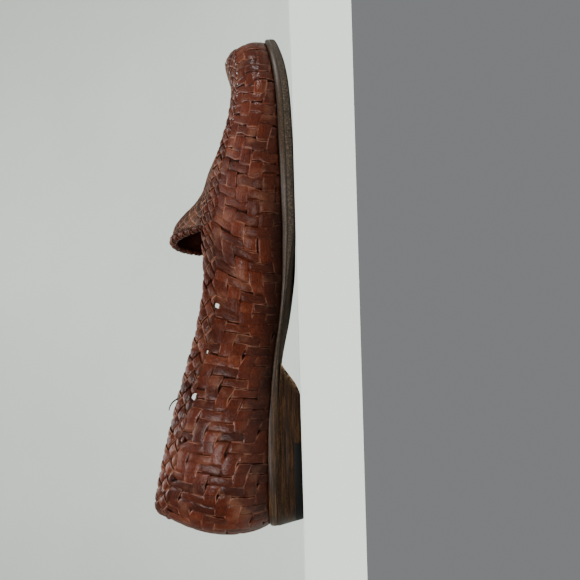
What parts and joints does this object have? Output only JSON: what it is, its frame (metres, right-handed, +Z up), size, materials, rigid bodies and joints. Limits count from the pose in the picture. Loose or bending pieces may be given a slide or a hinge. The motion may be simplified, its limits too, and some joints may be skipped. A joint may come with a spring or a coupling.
{
  "type": "woven loafer",
  "caption": "Men's slip-on loafer for the left foot: hand-woven leather upper with plaited collar and apron seam, leather sole and stacked heel.",
  "frame": {"origin": "on the floor under the middle of the shoe's bounding box", "axes": "+X from heel to toe, +Y to the outer side of a left foot, +Z up"},
  "size_m": [0.2968, 0.1022, 0.0873],
  "materials": {
    "woven_leather": "reddish-brown, polished",
    "sole_leather": "grey-brown edge, worn",
    "heel_leather": "dark brown, burnished stack",
    "heel_rubber": "black, matt",
    "insole_leather": "tan, smooth"
  },
  "bodies": {
    "root": {"outsole": "sole_leather", "upper": "woven_leather", "insole": "insole_leather", "heel_lift_top": "heel_leather", "heel_lift_middle": "heel_leather", "heel_piece_leather": "heel_leather", "heel_piece_rubber": "heel_rubber"}
  },
  "joints": []
}
